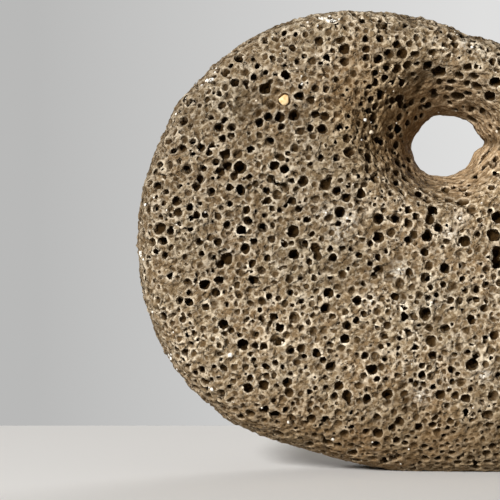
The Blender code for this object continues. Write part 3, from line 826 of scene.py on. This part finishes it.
def make_skin():
    envelope, points, quads = envelope_field()
    say("envelope")
    bubbles = scatter_bubbles(envelope, points, quads)
    say("%d bubbles" % len(bubbles.radius))

    shape = [int(n) for n in (HIGH - LOW) / STEP + 1]
    rng = np.random.default_rng(11)
    field = resample(envelope, LOW, STEP, shape)
    # Less inset in the throat, so that the hole keeps its size.
    x, z = (LOW[k] + STEP * np.arange(shape[k]) for k in (0, 2))
    x, z = x[:, None] - HOLE[0], z[None, :] - HOLE[1]
    throat = np.hypot(x, z)
    inset = 0.06 + (INSET - 0.06) * np.clip((throat - 12.5) / 4.0, 0.0, 1.0)
    angle = np.degrees(np.arctan2(z, x))
    for at, change, spread in THROAT_TRIM:
        off = (angle - at + 180.0) % 360.0 - 180.0
        inset += change * np.exp(-0.5 * (off / spread) ** 2) * np.clip((20.0 - throat) / 6.0, 0.0, 1.0)
    field += inset.astype(np.float32)[:, None, :]
    # The funnel is smoother than the rest.
    smooth = np.clip((throat - 13.0) / 12.0, 0.6, 1.0).astype(np.float32)[:, None, :]
    # So is the base, up to about 20 mm.
    z = LOW[2] + STEP * np.arange(shape[2])
    smooth = smooth * np.clip((z + 2.0) / 24.0, 0.5, 1.0).astype(np.float32)
    for wave, height in ((15.0, 0.22), (6.0, 0.15), (3.0, 0.16)):
        field += lumps(shape, STEP, wave, rng) * np.float32(height) * smooth
    say("rough field %s" % (shape,))
    carve(field, LOW, STEP, bubbles)
    say("carved")
    for wave, height in ((1.7, 0.11), (1.0, 0.07)):
        field += lumps(shape, STEP, wave, rng) * np.float32(height) * smooth
    z = (LOW[2] + STEP * np.arange(shape[2])).astype(np.float32)
    np.maximum(field, -z[None, None, :], out=field)

    # The pebble's pore keeps its own clean shape.
    pocket = Bubbles(1)
    spot = pebble_pore()
    pocket.centre, pocket.radius, pocket.shape = [spot], [PORE_RADIUS], [np.eye(3)]
    carve(field, LOW, STEP, pocket)

    points, quads = mesh_of(field, LOW, STEP)
    say("%d quads" % len(quads))
    solid = np.clip(0.5 - field / STEP, 0.0, 1.0)
    near = Field(soften(soften(solid, 1), 1), LOW, STEP)
    wide = Field(soften(soften(solid, 4), 3), LOW, STEP)
    say("solid share")

    mesh = thinned(new_mesh("stone_skin", points * MM, quads), envelope, SHARES)
    say("thinned to %d" % len(mesh.polygons))

    co = vertices_of(mesh)
    keep = biggest_piece(len(co), triangles_of(mesh))
    if not keep.all():
        bm = bmesh.new()
        bm.from_mesh(mesh)
        bm.verts.ensure_lookup_table()
        bmesh.ops.delete(bm, geom=[bm.verts[i] for i in np.nonzero(~keep)[0]], context='VERTS')
        bm.to_mesh(mesh)
        bm.free()
        co = vertices_of(mesh)
    say("kept %d of %d points" % (len(co), len(keep)))
    p = co / MM
    for name, values in (("deep", -envelope.at(p)), ("near", near.at(p)), ("wide", wide.at(p)),
                         ("dust", dusty(p, envelope))):
        layer = mesh.attributes.new(name, 'FLOAT', 'POINT')
        layer.data.foreach_set("value", np.asarray(values, np.float32))
    mesh.shade_smooth()
    return link("stone_skin", mesh), envelope


def dusty(points, envelope):
    """Share of pale dust at points: the patches read off the face, and seeded ones."""
    rows = np.array(DUST, float)
    spots, met = trace(envelope, rows[:, 0], rows[:, 1])
    spots, size = spots[met], rows[met, 2] * 620.0 / PIXELS_PER_UNIT
    rng = np.random.default_rng(23)
    hidden = points[(points[:, 0] > 27.0) | (points[:, 1] > 3.0)]
    more = hidden[rng.integers(0, len(hidden), 44)]
    spots = np.vstack([spots, more])
    size = np.append(size, rng.uniform(1.5, 3.2, len(more)))
    share = np.zeros(len(points))
    for spot, reach in zip(spots, size):
        share = np.maximum(share, np.exp(-((points - spot) ** 2).sum(axis=1) / (reach * reach)))
    return share


def pebble_pore():
    x, z = PORE
    return np.array([x, 0.75 - float(face_height(np.array([x]), np.array([z]), 0)[0]), z])


# ---------------------------------------------------------------- materials

class Nodes:
    """Short hand for building a material's node tree."""

    def __init__(self, name):
        self.material = bpy.data.materials.new(name)
        self.material.use_nodes = True
        self.tree = self.material.node_tree
        self.shader = self.tree.nodes["Principled BSDF"]
        coords = self.tree.nodes.new("ShaderNodeTexCoord")
        self.place = coords.outputs["Object"]

    def plug(self, value, socket):
        if isinstance(value, bpy.types.NodeSocket):
            self.tree.links.new(value, socket)
        else:
            socket.default_value = value

    def attribute(self, name):
        n = self.tree.nodes.new("ShaderNodeAttribute")
        n.attribute_name = name
        return n.outputs["Fac"]

    def math(self, kind, a, b=0.0, c=0.0, clamp=False):
        n = self.tree.nodes.new("ShaderNodeMath")
        n.operation = kind
        n.use_clamp = clamp
        for value, socket in zip((a, b, c), n.inputs):
            self.plug(value, socket)
        return n.outputs[0]

    def ramp(self, value, low, high, to_low=0.0, to_high=1.0, smooth=False):
        n = self.tree.nodes.new("ShaderNodeMapRange")
        n.interpolation_type = 'SMOOTHSTEP' if smooth else 'LINEAR'
        n.clamp = True
        for v, socket in zip((value, low, high, to_low, to_high), n.inputs):
            self.plug(v, socket)
        return n.outputs[0]

    def noise(self, size, detail=2.0, rough=0.5, shift=0.0, drawn=1.0):
        """Noise with features of about the given size in mm, 0 to 1; drawn out up to the right."""
        move = self.tree.nodes.new("ShaderNodeMapping")
        move.vector_type = 'TEXTURE'
        move.inputs["Location"].default_value = (-shift, -shift * 0.7, shift)
        if drawn != 1.0:
            move.inputs["Rotation"].default_value = (0.0, math.radians(-32.0), 0.0)
            move.inputs["Scale"].default_value = (drawn, 1.0, 1.0)
        self.tree.links.new(self.place, move.inputs["Vector"])
        n = self.tree.nodes.new("ShaderNodeTexNoise")
        self.tree.links.new(move.outputs[0], n.inputs["Vector"])
        n.inputs["Scale"].default_value = 1000.0 / size
        n.inputs["Detail"].default_value = detail
        n.inputs["Roughness"].default_value = rough
        return n.outputs["Fac"]

    def cells(self, size, feature='F1', randomness=1.0):
        n = self.tree.nodes.new("ShaderNodeTexVoronoi")
        self.tree.links.new(self.place, n.inputs["Vector"])
        n.feature = feature
        n.inputs["Scale"].default_value = 1000.0 / size
        n.inputs["Randomness"].default_value = randomness
        return n.outputs["Distance"]

    def around_hole(self, right, up, inner, outer, most, ragged=9.0):
        """Share that rises to most near a line along Y beside the hole's axis, in mm."""
        part = self.tree.nodes.new("ShaderNodeSeparateXYZ")
        self.tree.links.new(self.place, part.inputs[0])
        x = self.math('SUBTRACT', part.outputs[0], (HOLE[0] + right) * MM)
        z = self.math('SUBTRACT', part.outputs[2], (HOLE[1] + up) * MM)
        away = self.math('SQRT', self.math('ADD', self.math('MULTIPLY', x, x),
                                           self.math('MULTIPLY', z, z)))
        rough = self.math('MULTIPLY', self.noise(14.0, 3.0, 0.55, 0.2), ragged * MM)
        away = self.math('ADD', away, rough)
        return self.ramp(away, (outer + 0.5 * ragged) * MM, (inner + 0.5 * ragged) * MM,
                         0.0, most, smooth=True)

    def above(self, high, low, most):
        """Share that rises to most as the height falls from high to low, in mm, raggedly."""
        part = self.tree.nodes.new("ShaderNodeSeparateXYZ")
        self.tree.links.new(self.place, part.inputs[0])
        rough = self.math('MULTIPLY', self.noise(18.0, 3.0, 0.6, 2.3), 24.0 * MM)
        height = self.math('ADD', part.outputs[2], rough)
        return self.ramp(height, (high + 12.0) * MM, (low + 12.0) * MM, 0.0, most, smooth=True)

    def off_middle(self, outer, inner, most):
        """Share that rises to most from outer to inner, in mm off the middle plane."""
        part = self.tree.nodes.new("ShaderNodeSeparateXYZ")
        self.tree.links.new(self.place, part.inputs[0])
        away = self.math('ABSOLUTE', part.outputs[1])
        return self.ramp(away, outer * MM, inner * MM, 0.0, most, smooth=True)

    def sharp(self, reach):
        """How thin the rock is behind the surface: 0 on the flat, more on a sharp edge."""
        n = self.tree.nodes.new("ShaderNodeAmbientOcclusion")
        n.inside = True
        n.only_local = True
        n.samples = 4
        n.inputs["Distance"].default_value = reach * MM
        return self.math('SUBTRACT', 1.0, n.outputs["AO"])

    def mix(self, share, a, b, kind='MIX'):
        n = self.tree.nodes.new("ShaderNodeMix")
        n.data_type = 'RGBA'
        n.blend_type = kind
        n.clamp_factor = True
        self.plug(share, n.inputs["Factor"])
        self.plug(a if isinstance(a, bpy.types.NodeSocket) else (*a, 1.0), n.inputs[6])
        self.plug(b if isinstance(b, bpy.types.NodeSocket) else (*b, 1.0), n.inputs[7])
        return n.outputs[2]

    def bump(self, height, distance, strength=1.0, under=None):
        n = self.tree.nodes.new("ShaderNodeBump")
        n.inputs["Distance"].default_value = distance * MM
        n.inputs["Strength"].default_value = strength
        self.tree.links.new(height, n.inputs["Height"])
        if under is not None:
            self.tree.links.new(under, n.inputs["Normal"])
        return n.outputs[0]


def pumice_material():
    n = Nodes("pumice")
    deep, near, dust = (n.attribute(a) for a in ("deep", "near", "dust"))
    less = lambda share, by: n.math('MULTIPLY', share, n.math('SUBTRACT', 1.0, by), clamp=True)
    times = lambda a, b: n.math('MULTIPLY', a, b)

    # The funnel of the hole is worn smoother, with less grain and a warmer brown.
    worn = n.around_hole(-2.0, 3.0, 15.0, 28.0, 1.0)
    # Painted shade towards the base, where the stone turns under: the rock is darker and more even there.
    low = n.above(40.0, 8.0, 1.0)
    # Small shallow cells in the walls between the pores, and the thin ridges around them.
    cell = n.cells(2.3)
    small = n.cells(1.05)
    foamy = less(n.ramp(n.noise(7.0, 2.0, 0.5, 3.1), 0.36, 0.60, 0.25, 1.0), times(worn, 0.85))

    # Rock colour: tan, greyer in some patches, warmer in others.
    rock = n.mix(n.ramp(n.noise(28.0, 2.0), 0.38, 0.62), (0.228, 0.149, 0.075), (0.218, 0.159, 0.090))
    rock = n.mix(n.ramp(n.noise(4.5, 3.0, 0.6, 0.3), 0.48, 0.72, 0.0, 0.9), rock, (0.148, 0.096, 0.048))
    rock = n.mix(n.ramp(n.noise(10.0, 2.0, 0.5, 1.3), 0.36, 0.62, 0.0, 0.55), rock, (0.80, 0.77, 0.74), 'MULTIPLY')
    rock = n.mix(times(worn, 0.70), rock, (0.350, 0.241, 0.139))
    some = n.math('SUBTRACT', 1.0, times(worn, 0.20))
    # Painted shade: the small shallow cells are darker towards their middles.
    rock = n.mix(times(n.ramp(cell, 0.42, 0.12, 0.0, 0.55), foamy), rock, (0.190, 0.124, 0.064))
    grain = n.noise(1.3, 1.5, 0.5, 0.1, 1.4)
    # Fewer pale grains towards the base, as part of the painted shade there.
    pale = times(n.ramp(grain, 0.54, 0.68, 0.0, 0.55), less(some, times(low, 0.8)))
    rock = n.mix(pale, rock, (0.70, 0.585, 0.415))
    dark = times(n.ramp(grain, 0.44, 0.34, 0.0, 0.62), some)
    rock = n.mix(dark, rock, (0.075, 0.043, 0.017))

    # Pale dust lies in patches, most in small hollows of the matrix.
    fine = n.ramp(n.noise(1.3, 3.0, 0.65, 0.7), 0.42, 0.60)
    rock = n.mix(times(times(dust, fine), 0.95), rock, (0.76, 0.71, 0.62))

    # Edges between pores are worn pale.
    edge = n.ramp(near, 0.42, 0.33, 0.0, 0.35)
    rock = n.mix(less(edge, times(worn, 0.60)), rock, (0.54, 0.43, 0.285))
    # Pale crests and cell ridges: partly worn edges, partly a painted highlight on thin edges; fewer towards the
    # base, as painted shade.
    uneven = less(n.ramp(n.noise(2.6, 2.0, 0.5, 1.9), 0.36, 0.60, 0.35, 1.0), times(low, 0.75))
    ridge = times(n.ramp(cell, 0.58, 0.76, 0.0, 0.55), times(foamy, uneven))
    crest_wear_and_highlight = n.math('MAXIMUM', times(n.ramp(n.sharp(0.7), 0.13, 0.35, 0.0, 1.0), uneven), ridge)
    rock = n.mix(less(crest_wear_and_highlight, times(worn, 0.50)), rock, (0.98, 0.855, 0.665))
    # Less painted shade in the pore that holds the pebble than in the others.
    pebble_pore_less_shade = n.math('MULTIPLY', n.around_hole(PORE[0] - HOLE[0], PORE[1] - HOLE[1], 2.3, 3.0, 0.8, 0.0),
                   n.ramp(deep, 4.5, 3.5))
    # Painted shade: hollows, where the rock closes in round a point, are darkened.
    hollow_shade = less(n.ramp(near, 0.51, 0.63, 0.0, 0.80), pebble_pore_less_shade)
    rock = n.mix(hollow_shade, rock, (0.105, 0.062, 0.025))
    # Painted shade: tiny dark dots stand for micro pores too small to carve.
    micro_pore_shade = times(n.ramp(small, 0.22, 0.12, 0.0, 0.9), n.ramp(n.noise(3.3, 1.0, 0.5, 4.7), 0.50, 0.60))
    rock = n.mix(micro_pore_shade, rock, (0.045, 0.024, 0.008))
    # Painted shade: the deeper a point lies in a pore, the darker, from a smaller depth in the funnel.
    pit_shade = n.math('MAXIMUM', n.ramp(deep, 0.80, 2.2, 0.0, 1.0),
                 times(n.ramp(deep, 0.48, 1.0, 0.0, 0.78), worn))
    rock = n.mix(less(pit_shade, pebble_pore_less_shade), rock, (0.038, 0.020, 0.006))

    # The upper left of the funnel is darkest: partly a brown stain, partly painted shade on the side turned from
    # the key light.
    stain_and_shade = n.around_hole(-23.0, 8.0, 8.0, 33.0, 0.85)
    rock = n.mix(stain_and_shade, rock, (0.66, 0.56, 0.42), 'MULTIPLY')
    # Painted light: the lower right of the funnel, which faces the key light, is lightened.
    rock = n.mix(n.around_hole(13.0, -12.0, 8.0, 22.0, 0.9), rock, (1.30, 1.26, 1.22), 'MULTIPLY')
    # The blunt end is a shade darker than the middle.
    rock = n.mix(n.around_hole(-74.0, -10.0, 22.0, 64.0, 1.0), rock, (0.80, 0.80, 0.80), 'MULTIPLY')
    # Painted shade: darker and browner towards the base.
    rock = n.mix(times(low, 0.50), rock, (0.76, 0.68, 0.58), 'MULTIPLY')
    # Painted shade: the rounded edge all round is a little darker than the faces.
    rim = less(n.off_middle(29.0, 13.0, 1.0), n.around_hole(0.0, 0.0, 24.0, 34.0, 1.0))
    rim = less(rim, times(low, 0.85))
    rock = n.mix(rim, rock, (0.56, 0.525, 0.48), 'MULTIPLY')

    n.tree.links.new(rock, n.shader.inputs["Base Color"])
    n.shader.inputs["Roughness"].default_value = 0.95
    n.shader.inputs["Specular IOR Level"].default_value = 0.06
    smoother = times(n.math('SUBTRACT', 1.0, times(worn, 0.28)), n.math('SUBTRACT', 1.0, times(rim, 0.40)))
    smoother = times(smoother, n.math('SUBTRACT', 1.0, times(n.above(26.0, 8.0, 1.0), 0.40)))
    rough = n.bump(times(n.noise(0.85, 1.5, 0.5, 0.5), smoother), 0.80, 1.0)
    cells = n.bump(times(n.ramp(cell, 0.08, 0.62, smooth=True), foamy), 0.55, 1.0, rough)
    both = n.bump(times(n.noise(2.1, 0.8, 0.5, 0.9, 1.35), smoother), 2.3, 1.0, cells)
    n.tree.links.new(both, n.shader.inputs["Normal"])
    return n.material


def pebble_material():
    n = Nodes("cream_pebble")
    tone = n.mix(n.ramp(n.noise(1.8, 2.0, 0.5, 0.4), 0.42, 0.62), (0.78, 0.46, 0.19), (0.90, 0.70, 0.40))
    n.tree.links.new(tone, n.shader.inputs["Base Color"])
    n.shader.inputs["Roughness"].default_value = 0.55
    n.tree.links.new(n.bump(n.noise(0.5, 2.0), 0.06, 0.7), n.shader.inputs["Normal"])
    return n.material


def mineral_material():
    n = Nodes("white_mineral")
    tone = n.mix(n.attribute("tone"), (0.88, 0.87, 0.82), (0.66, 0.52, 0.34))
    tone = n.mix(n.ramp(n.noise(0.8, 3.0, 0.6), 0.50, 0.78), tone, (0.50, 0.42, 0.31))
    n.tree.links.new(tone, n.shader.inputs["Base Color"])
    n.shader.inputs["Roughness"].default_value = 0.5
    n.tree.links.new(n.bump(n.noise(0.4, 2.0), 0.08, 0.6), n.shader.inputs["Normal"])
    return n.material


# ---------------------------------------------------------------- the small pieces

def make_pebble():
    """The cream pebble, a rounded grain with a few worn flats."""
    spot = pebble_pore()
    centre = np.array([spot[0], spot[1] + PORE_RADIUS - GAP - PEBBLE[1], spot[2] - 0.03])
    bm = bmesh.new()
    bmesh.ops.create_icosphere(bm, subdivisions=5, radius=1.0)
    # Worn flats: the upper left, the right side, the lower right and the lower left.
    flats = [(-0.62, -0.10, 0.78, 0.76), (0.99, -0.10, 0.05, 0.70), (0.70, 0.0, -0.71, 0.80),
             (-0.75, 0.0, -0.66, 0.86), (0.1, -0.99, -0.1, 0.86)]
    for v in bm.verts:
        x, y, z = v.co
        for a, b, c, reach in flats:
            over = max(x * a + y * b + z * c - reach, 0.0) * 0.85
            x, y, z = x - over * a, y - over * b, z - over * c
        dent = 0.03 * math.sin(5.1 * x + 1.0) * math.sin(4.3 * z + 0.4) * math.cos(3.9 * y)
        v.co = ((x * (1 + dent) * 1.20 * PEBBLE[0] + centre[0]) * MM,
                (y * (1 + dent) * PEBBLE[1] + centre[1]) * MM,
                (z * (1 + dent) * 1.06 * PEBBLE[2] + centre[2]) * MM)
    mesh = bpy.data.meshes.new("cream_pebble")
    bm.to_mesh(mesh)
    bm.free()
    mesh.shade_smooth()
    return link("cream_pebble", mesh)


# Mineral grains on the front: x, y, width and height in pixels, 0 white to 1 cream.
GRAINS = [
    (302.2, 83.6, 3.6, 3.8, 0.0), (365.0, 120.0, 3.4, 3.6, 0.0), (371.0, 132.5, 4.4, 5.6, 0.75),
    (230.4, 355.2, 5.0, 4.0, 0.0), (288.5, 422.0, 3.4, 3.0, 0.25), (333.0, 439.2, 2.8, 3.2, 0.1),
    (212.0, 389.4, 3.0, 4.4, 0.0), (209.3, 387.5, 2.0, 2.0, 0.1), (207.2, 80.8, 4.4, 4.0, 0.0),
    (212.6, 79.2, 3.6, 3.4, 0.05), (202.0, 85.6, 2.2, 4.2, 0.1), (215.2, 72.6, 2.6, 2.4, 0.2),
    (216.4, 68.4, 1.8, 1.6, 0.2), (176.3, 114.2, 2.2, 3.2, 0.15), (145.6, 204.5, 2.4, 4.2, 0.05),
    (140.6, 253.0, 3.2, 5.2, 0.0), (143.6, 259.6, 2.4, 2.8, 0.1), (153.0, 312.0, 2.4, 3.0, 0.15),
    (169.4, 355.0, 2.8, 4.0, 0.0), (171.4, 358.6, 2.6, 3.4, 0.05), (177.2, 369.3, 2.0, 2.0, 0.2),
    (173.6, 332.0, 1.8, 2.2, 0.3), (154.0, 197.5, 1.8, 2.0, 0.35), (166.5, 210.0, 1.8, 1.8, 0.3),
    (205.5, 211.8, 2.6, 2.4, 0.25), (315.6, 99.6, 2.6, 2.8, 0.8), (297.0, 68.6, 1.8, 2.4, 0.7),
    (281.2, 46.6, 1.6, 2.2, 0.1), (307.8, 22.4, 1.8, 3.4, 0.1), (317.4, 26.0, 3.0, 2.6, 0.0),
    (339.2, 19.4, 2.2, 2.2, 0.1), (329.4, 16.4, 3.0, 2.0, 0.05), (256.4, 100.8, 2.0, 2.6, 0.7),
    (472.0, 47.2, 3.6, 2.2, 0.1), (460.0, 218.4, 3.4, 3.0, 0.3), (347.4, 218.2, 3.0, 2.0, 0.1),
    (399.6, 269.6, 3.4, 2.6, 0.4), (449.2, 233.8, 2.6, 2.4, 0.3), (431.2, 302.2, 3.0, 2.4, 0.3),
    (371.2, 301.0, 2.6, 2.2, 0.2), (420.2, 396.0, 2.8, 2.4, 0.3), (484.0, 376.2, 2.4, 2.6, 0.3),
    (326.2, 213.0, 2.6, 2.2, 0.2), (396.4, 123.0, 1.8, 1.8, 0.5), (456.0, 110.6, 2.2, 3.2, 0.6),
    (438.6, 112.2, 2.6, 1.6, 0.2), (393.6, 91.0, 1.8, 1.8, 0.6), (497.0, 131.4, 2.6, 3.4, 0.6),
]

# Chalky crust along the top edge: x, y, width and height in pixels.
CRUSTS = [(322.6, 18.6, 7.5, 2.6), (331.6, 20.8, 10.0, 4.0), (140.8, 254.0, 2.4, 6.0),
          (170.4, 356.6, 2.6, 6.5), (209.4, 80.4, 7.0, 3.0)]


def faceted(rng, subdivisions=2):
    """A ball cut by a few planes, like a broken crystal, as points and triangles."""
    bm = bmesh.new()
    bmesh.ops.create_icosphere(bm, subdivisions=subdivisions, radius=1.0)
    points = np.array([v.co for v in bm.verts])
    faces = np.array([[v.index for v in f.verts] for f in bm.faces])
    bm.free()
    for _ in range(9):
        n = rng.normal(size=3)
        n /= np.linalg.norm(n)
        over = np.maximum(points @ n - rng.uniform(0.62, 0.9), 0.0)
        points = points - over[:, None] * n
    return points, faces


def make_grains(skin, envelope):
    """White and cream mineral grains and chalky crust, stuck on the pumice."""
    rng = np.random.default_rng(31)
    co = vertices_of(skin.data) / MM
    tree = BVHTree.FromPolygons(co.tolist(), triangles_of(skin.data).tolist())
    points, faces, tones = [], [], []

    def add(place, size, tone, flat=0.7, fine=2):
        n = envelope.slope(place[None])[0]
        u = np.cross(n, rng.normal(size=3))
        u /= np.linalg.norm(u)
        shape, tri = faceted(rng, fine)
        shape = shape * (size * rng.uniform(0.85, 1.15), size * rng.uniform(0.85, 1.15), size * flat)
        shape = shape[:, :1] * u + shape[:, 1:2] * np.cross(n, u) + shape[:, 2:] * n
        faces.append(tri + sum(map(len, points)))
        points.append(place + n * size * flat * 0.25 + shape)
        tones.append(np.full(len(shape), tone))

    def seen(px, py):
        """The skin's point at a pixel, or at the nearest one inside the outline."""
        for _ in range(14):
            d = pixel_ray([px], [py])[0]
            hit = tree.ray_cast(Vector(CAMERA), Vector(d))[0]
            if hit is not None:
                return np.array(hit)
            away = math.hypot(330.0 - px, 240.0 - py)
            px, py = px + 0.6 * (330.0 - px) / away, py + 0.6 * (240.0 - py) / away
        return None

    for px, py, wide, high, tone in GRAINS:
        place = seen(px, py)
        if place is not None:
            size = 0.5 * math.sqrt(wide * high) * (620.0 + place[1]) / PIXELS_PER_UNIT
            add(place, size * 1.08, tone, 0.75, 3)
    for px, py, wide, high in CRUSTS:
        for _ in range(int(5 + wide * high * 0.55)):
            a, r = rng.uniform(0.0, 2 * math.pi), math.sqrt(rng.random())
            place = seen(px + 0.5 * wide * r * math.cos(a), py + 0.5 * high * r * math.sin(a))
            if place is not None:
                add(place, rng.uniform(0.30, 0.52), rng.uniform(0.0, 0.3), 0.5)

    # Small specks all round, on what stands proud between the pores.
    near, deep = (np.empty(len(co), np.float32) for _ in range(2))
    skin.data.attributes["near"].data.foreach_get("value", near)
    skin.data.attributes["deep"].data.foreach_get("value", deep)
    from_hole = np.hypot(co[:, 0] - HOLE[0], co[:, 2] - HOLE[1])
    proud = np.nonzero((near < 0.47) & (deep < 0.9) & (co[:, 2] > 2.0) & (from_hole > 17.0))[0]
    front = (co[proud, 0] < 27.0) & (co[proud, 1] < -3.0)
    for group, count, most in ((proud[front], 90, 0.34), (proud[~front], 330, 0.55)):
        for i in rng.choice(group, count, replace=False):
            size = rng.uniform(0.17, most) if rng.random() < 0.9 else rng.uniform(most, 1.6 * most)
            add(co[i].astype(float), size, rng.uniform(0.0, 0.8), 0.75)
    # And a few patches of crust on the sides that the picture does not show.
    away = proud[~front & (from_hole[proud] > 26.0)]
    for i in rng.choice(away, 12, replace=False):
        reach = rng.uniform(0.8, 2.2)
        for _ in range(int(8 * reach)):
            spot = co[i] + rng.normal(0.0, 0.45 * reach, 3)
            hit = tree.find_nearest(Vector(spot.tolist()))[0]
            add(np.array(hit), rng.uniform(0.30, 0.55), rng.uniform(0.0, 0.35), 0.5)

    mesh = new_mesh("mineral_grains", np.vstack(points) * MM, np.vstack(faces))
    layer = mesh.attributes.new("tone", 'FLOAT', 'POINT')
    layer.data.foreach_set("value", np.concatenate(tones).astype(np.float32))
    say("%d mineral grains, %d faces" % (len(points), len(mesh.polygons)))
    return link("mineral_grains", mesh)


# ---------------------------------------------------------------- stage and light

def plain(name, colour, rough=0.8):
    m = bpy.data.materials.new(name)
    m.use_nodes = True
    s = m.node_tree.nodes["Principled BSDF"]
    s.inputs["Base Color"].default_value = (*colour, 1.0)
    s.inputs["Roughness"].default_value = rough
    s.inputs["Specular IOR Level"].default_value = 0.2
    return m


def make_stage():
    bm = bmesh.new()
    bmesh.ops.create_cube(bm, size=1.0)
    for v in bm.verts:
        v.co = (v.co.x * 1.3, v.co.y * 0.60 - 0.15, v.co.z * 0.03 - 0.015)
    mesh = bpy.data.meshes.new("floor")
    bm.to_mesh(mesh)
    bm.free()
    floor = link("floor", mesh)
    soft = floor.modifiers.new("soft_edge", 'BEVEL')
    soft.width = 0.003
    soft.segments = 3
    mesh.materials.append(plain("pale_floor", (0.76, 0.755, 0.745)))


def area_light(name, place, target, size, power, colour=(1.0, 1.0, 1.0)):
    data = bpy.data.lights.new(name, 'AREA')
    data.shape = 'DISK'
    data.size = size
    data.energy = power
    data.color = colour
    obj = bpy.data.objects.new(name, data)
    bpy.context.scene.collection.objects.link(obj)
    obj.location = place
    obj.rotation_euler = (Vector(target) - Vector(place)).to_track_quat('-Z', 'Y').to_euler()


def make_light():
    """Soft daylight from the upper left, a pale surround, and little fill."""
    world = bpy.data.worlds.new("studio")
    bpy.context.scene.world = world
    world.use_nodes = True
    tree = world.node_tree
    new, join = tree.nodes.new, tree.links.new
    seen = tree.nodes["Background"]
    # The backdrop is a little paler to the right of the stone than to its left.
    way = new("ShaderNodeTexCoord")
    part = new("ShaderNodeSeparateXYZ")
    join(way.outputs["Generated"], part.inputs[0])
    across = new("ShaderNodeMapRange")
    across.inputs["From Min"].default_value = -0.12
    across.inputs["From Max"].default_value = 0.13
    join(part.outputs[0], across.inputs["Value"])
    tone = new("ShaderNodeMix")
    tone.data_type = 'RGBA'
    tone.inputs[6].default_value = (0.485, 0.485, 0.48, 1.0)
    tone.inputs[7].default_value = (0.74, 0.74, 0.735, 1.0)
    join(across.outputs["Result"], tone.inputs[0])
    join(tone.outputs[2], seen.inputs["Color"])
    # What lights the stone is dimmer than what shows behind it.
    fill = new("ShaderNodeBackground")
    fill.inputs["Color"].default_value = (1.0, 0.93, 0.84, 1.0)
    fill.inputs["Strength"].default_value = 0.16
    ray = new("ShaderNodeLightPath")
    mix = new("ShaderNodeMixShader")
    join(ray.outputs["Is Camera Ray"], mix.inputs[0])
    join(fill.outputs[0], mix.inputs[1])
    join(seen.outputs[0], mix.inputs[2])
    join(mix.outputs[0], tree.nodes["World Output"].inputs["Surface"])
    area_light("key", (-1.22, -1.84, 1.03), (0.0, 0.0, 0.08), 0.62, 80.0, (1.0, 0.99, 0.975))
    area_light("back_fill", (0.95, 1.80, 0.65), (0.0, 0.0, 0.08), 0.80, 23.0, (1.0, 0.99, 0.98))
    scene = bpy.context.scene
    scene.view_settings.view_transform = 'Standard'
    scene.view_settings.look = 'None'


# ---------------------------------------------------------------- build

set_camera()
skin, envelope = make_skin()
skin.data.materials.append(pumice_material())
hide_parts("stone")
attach(skin, "root")

pebble = make_pebble()
pebble.data.materials.append(pebble_material())
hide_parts("lodged_pebble")
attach(pebble, "root")

grains = make_grains(skin, envelope)
grains.data.materials.append(mineral_material())
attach(grains, "root")

make_stage()
make_light()
say("done")
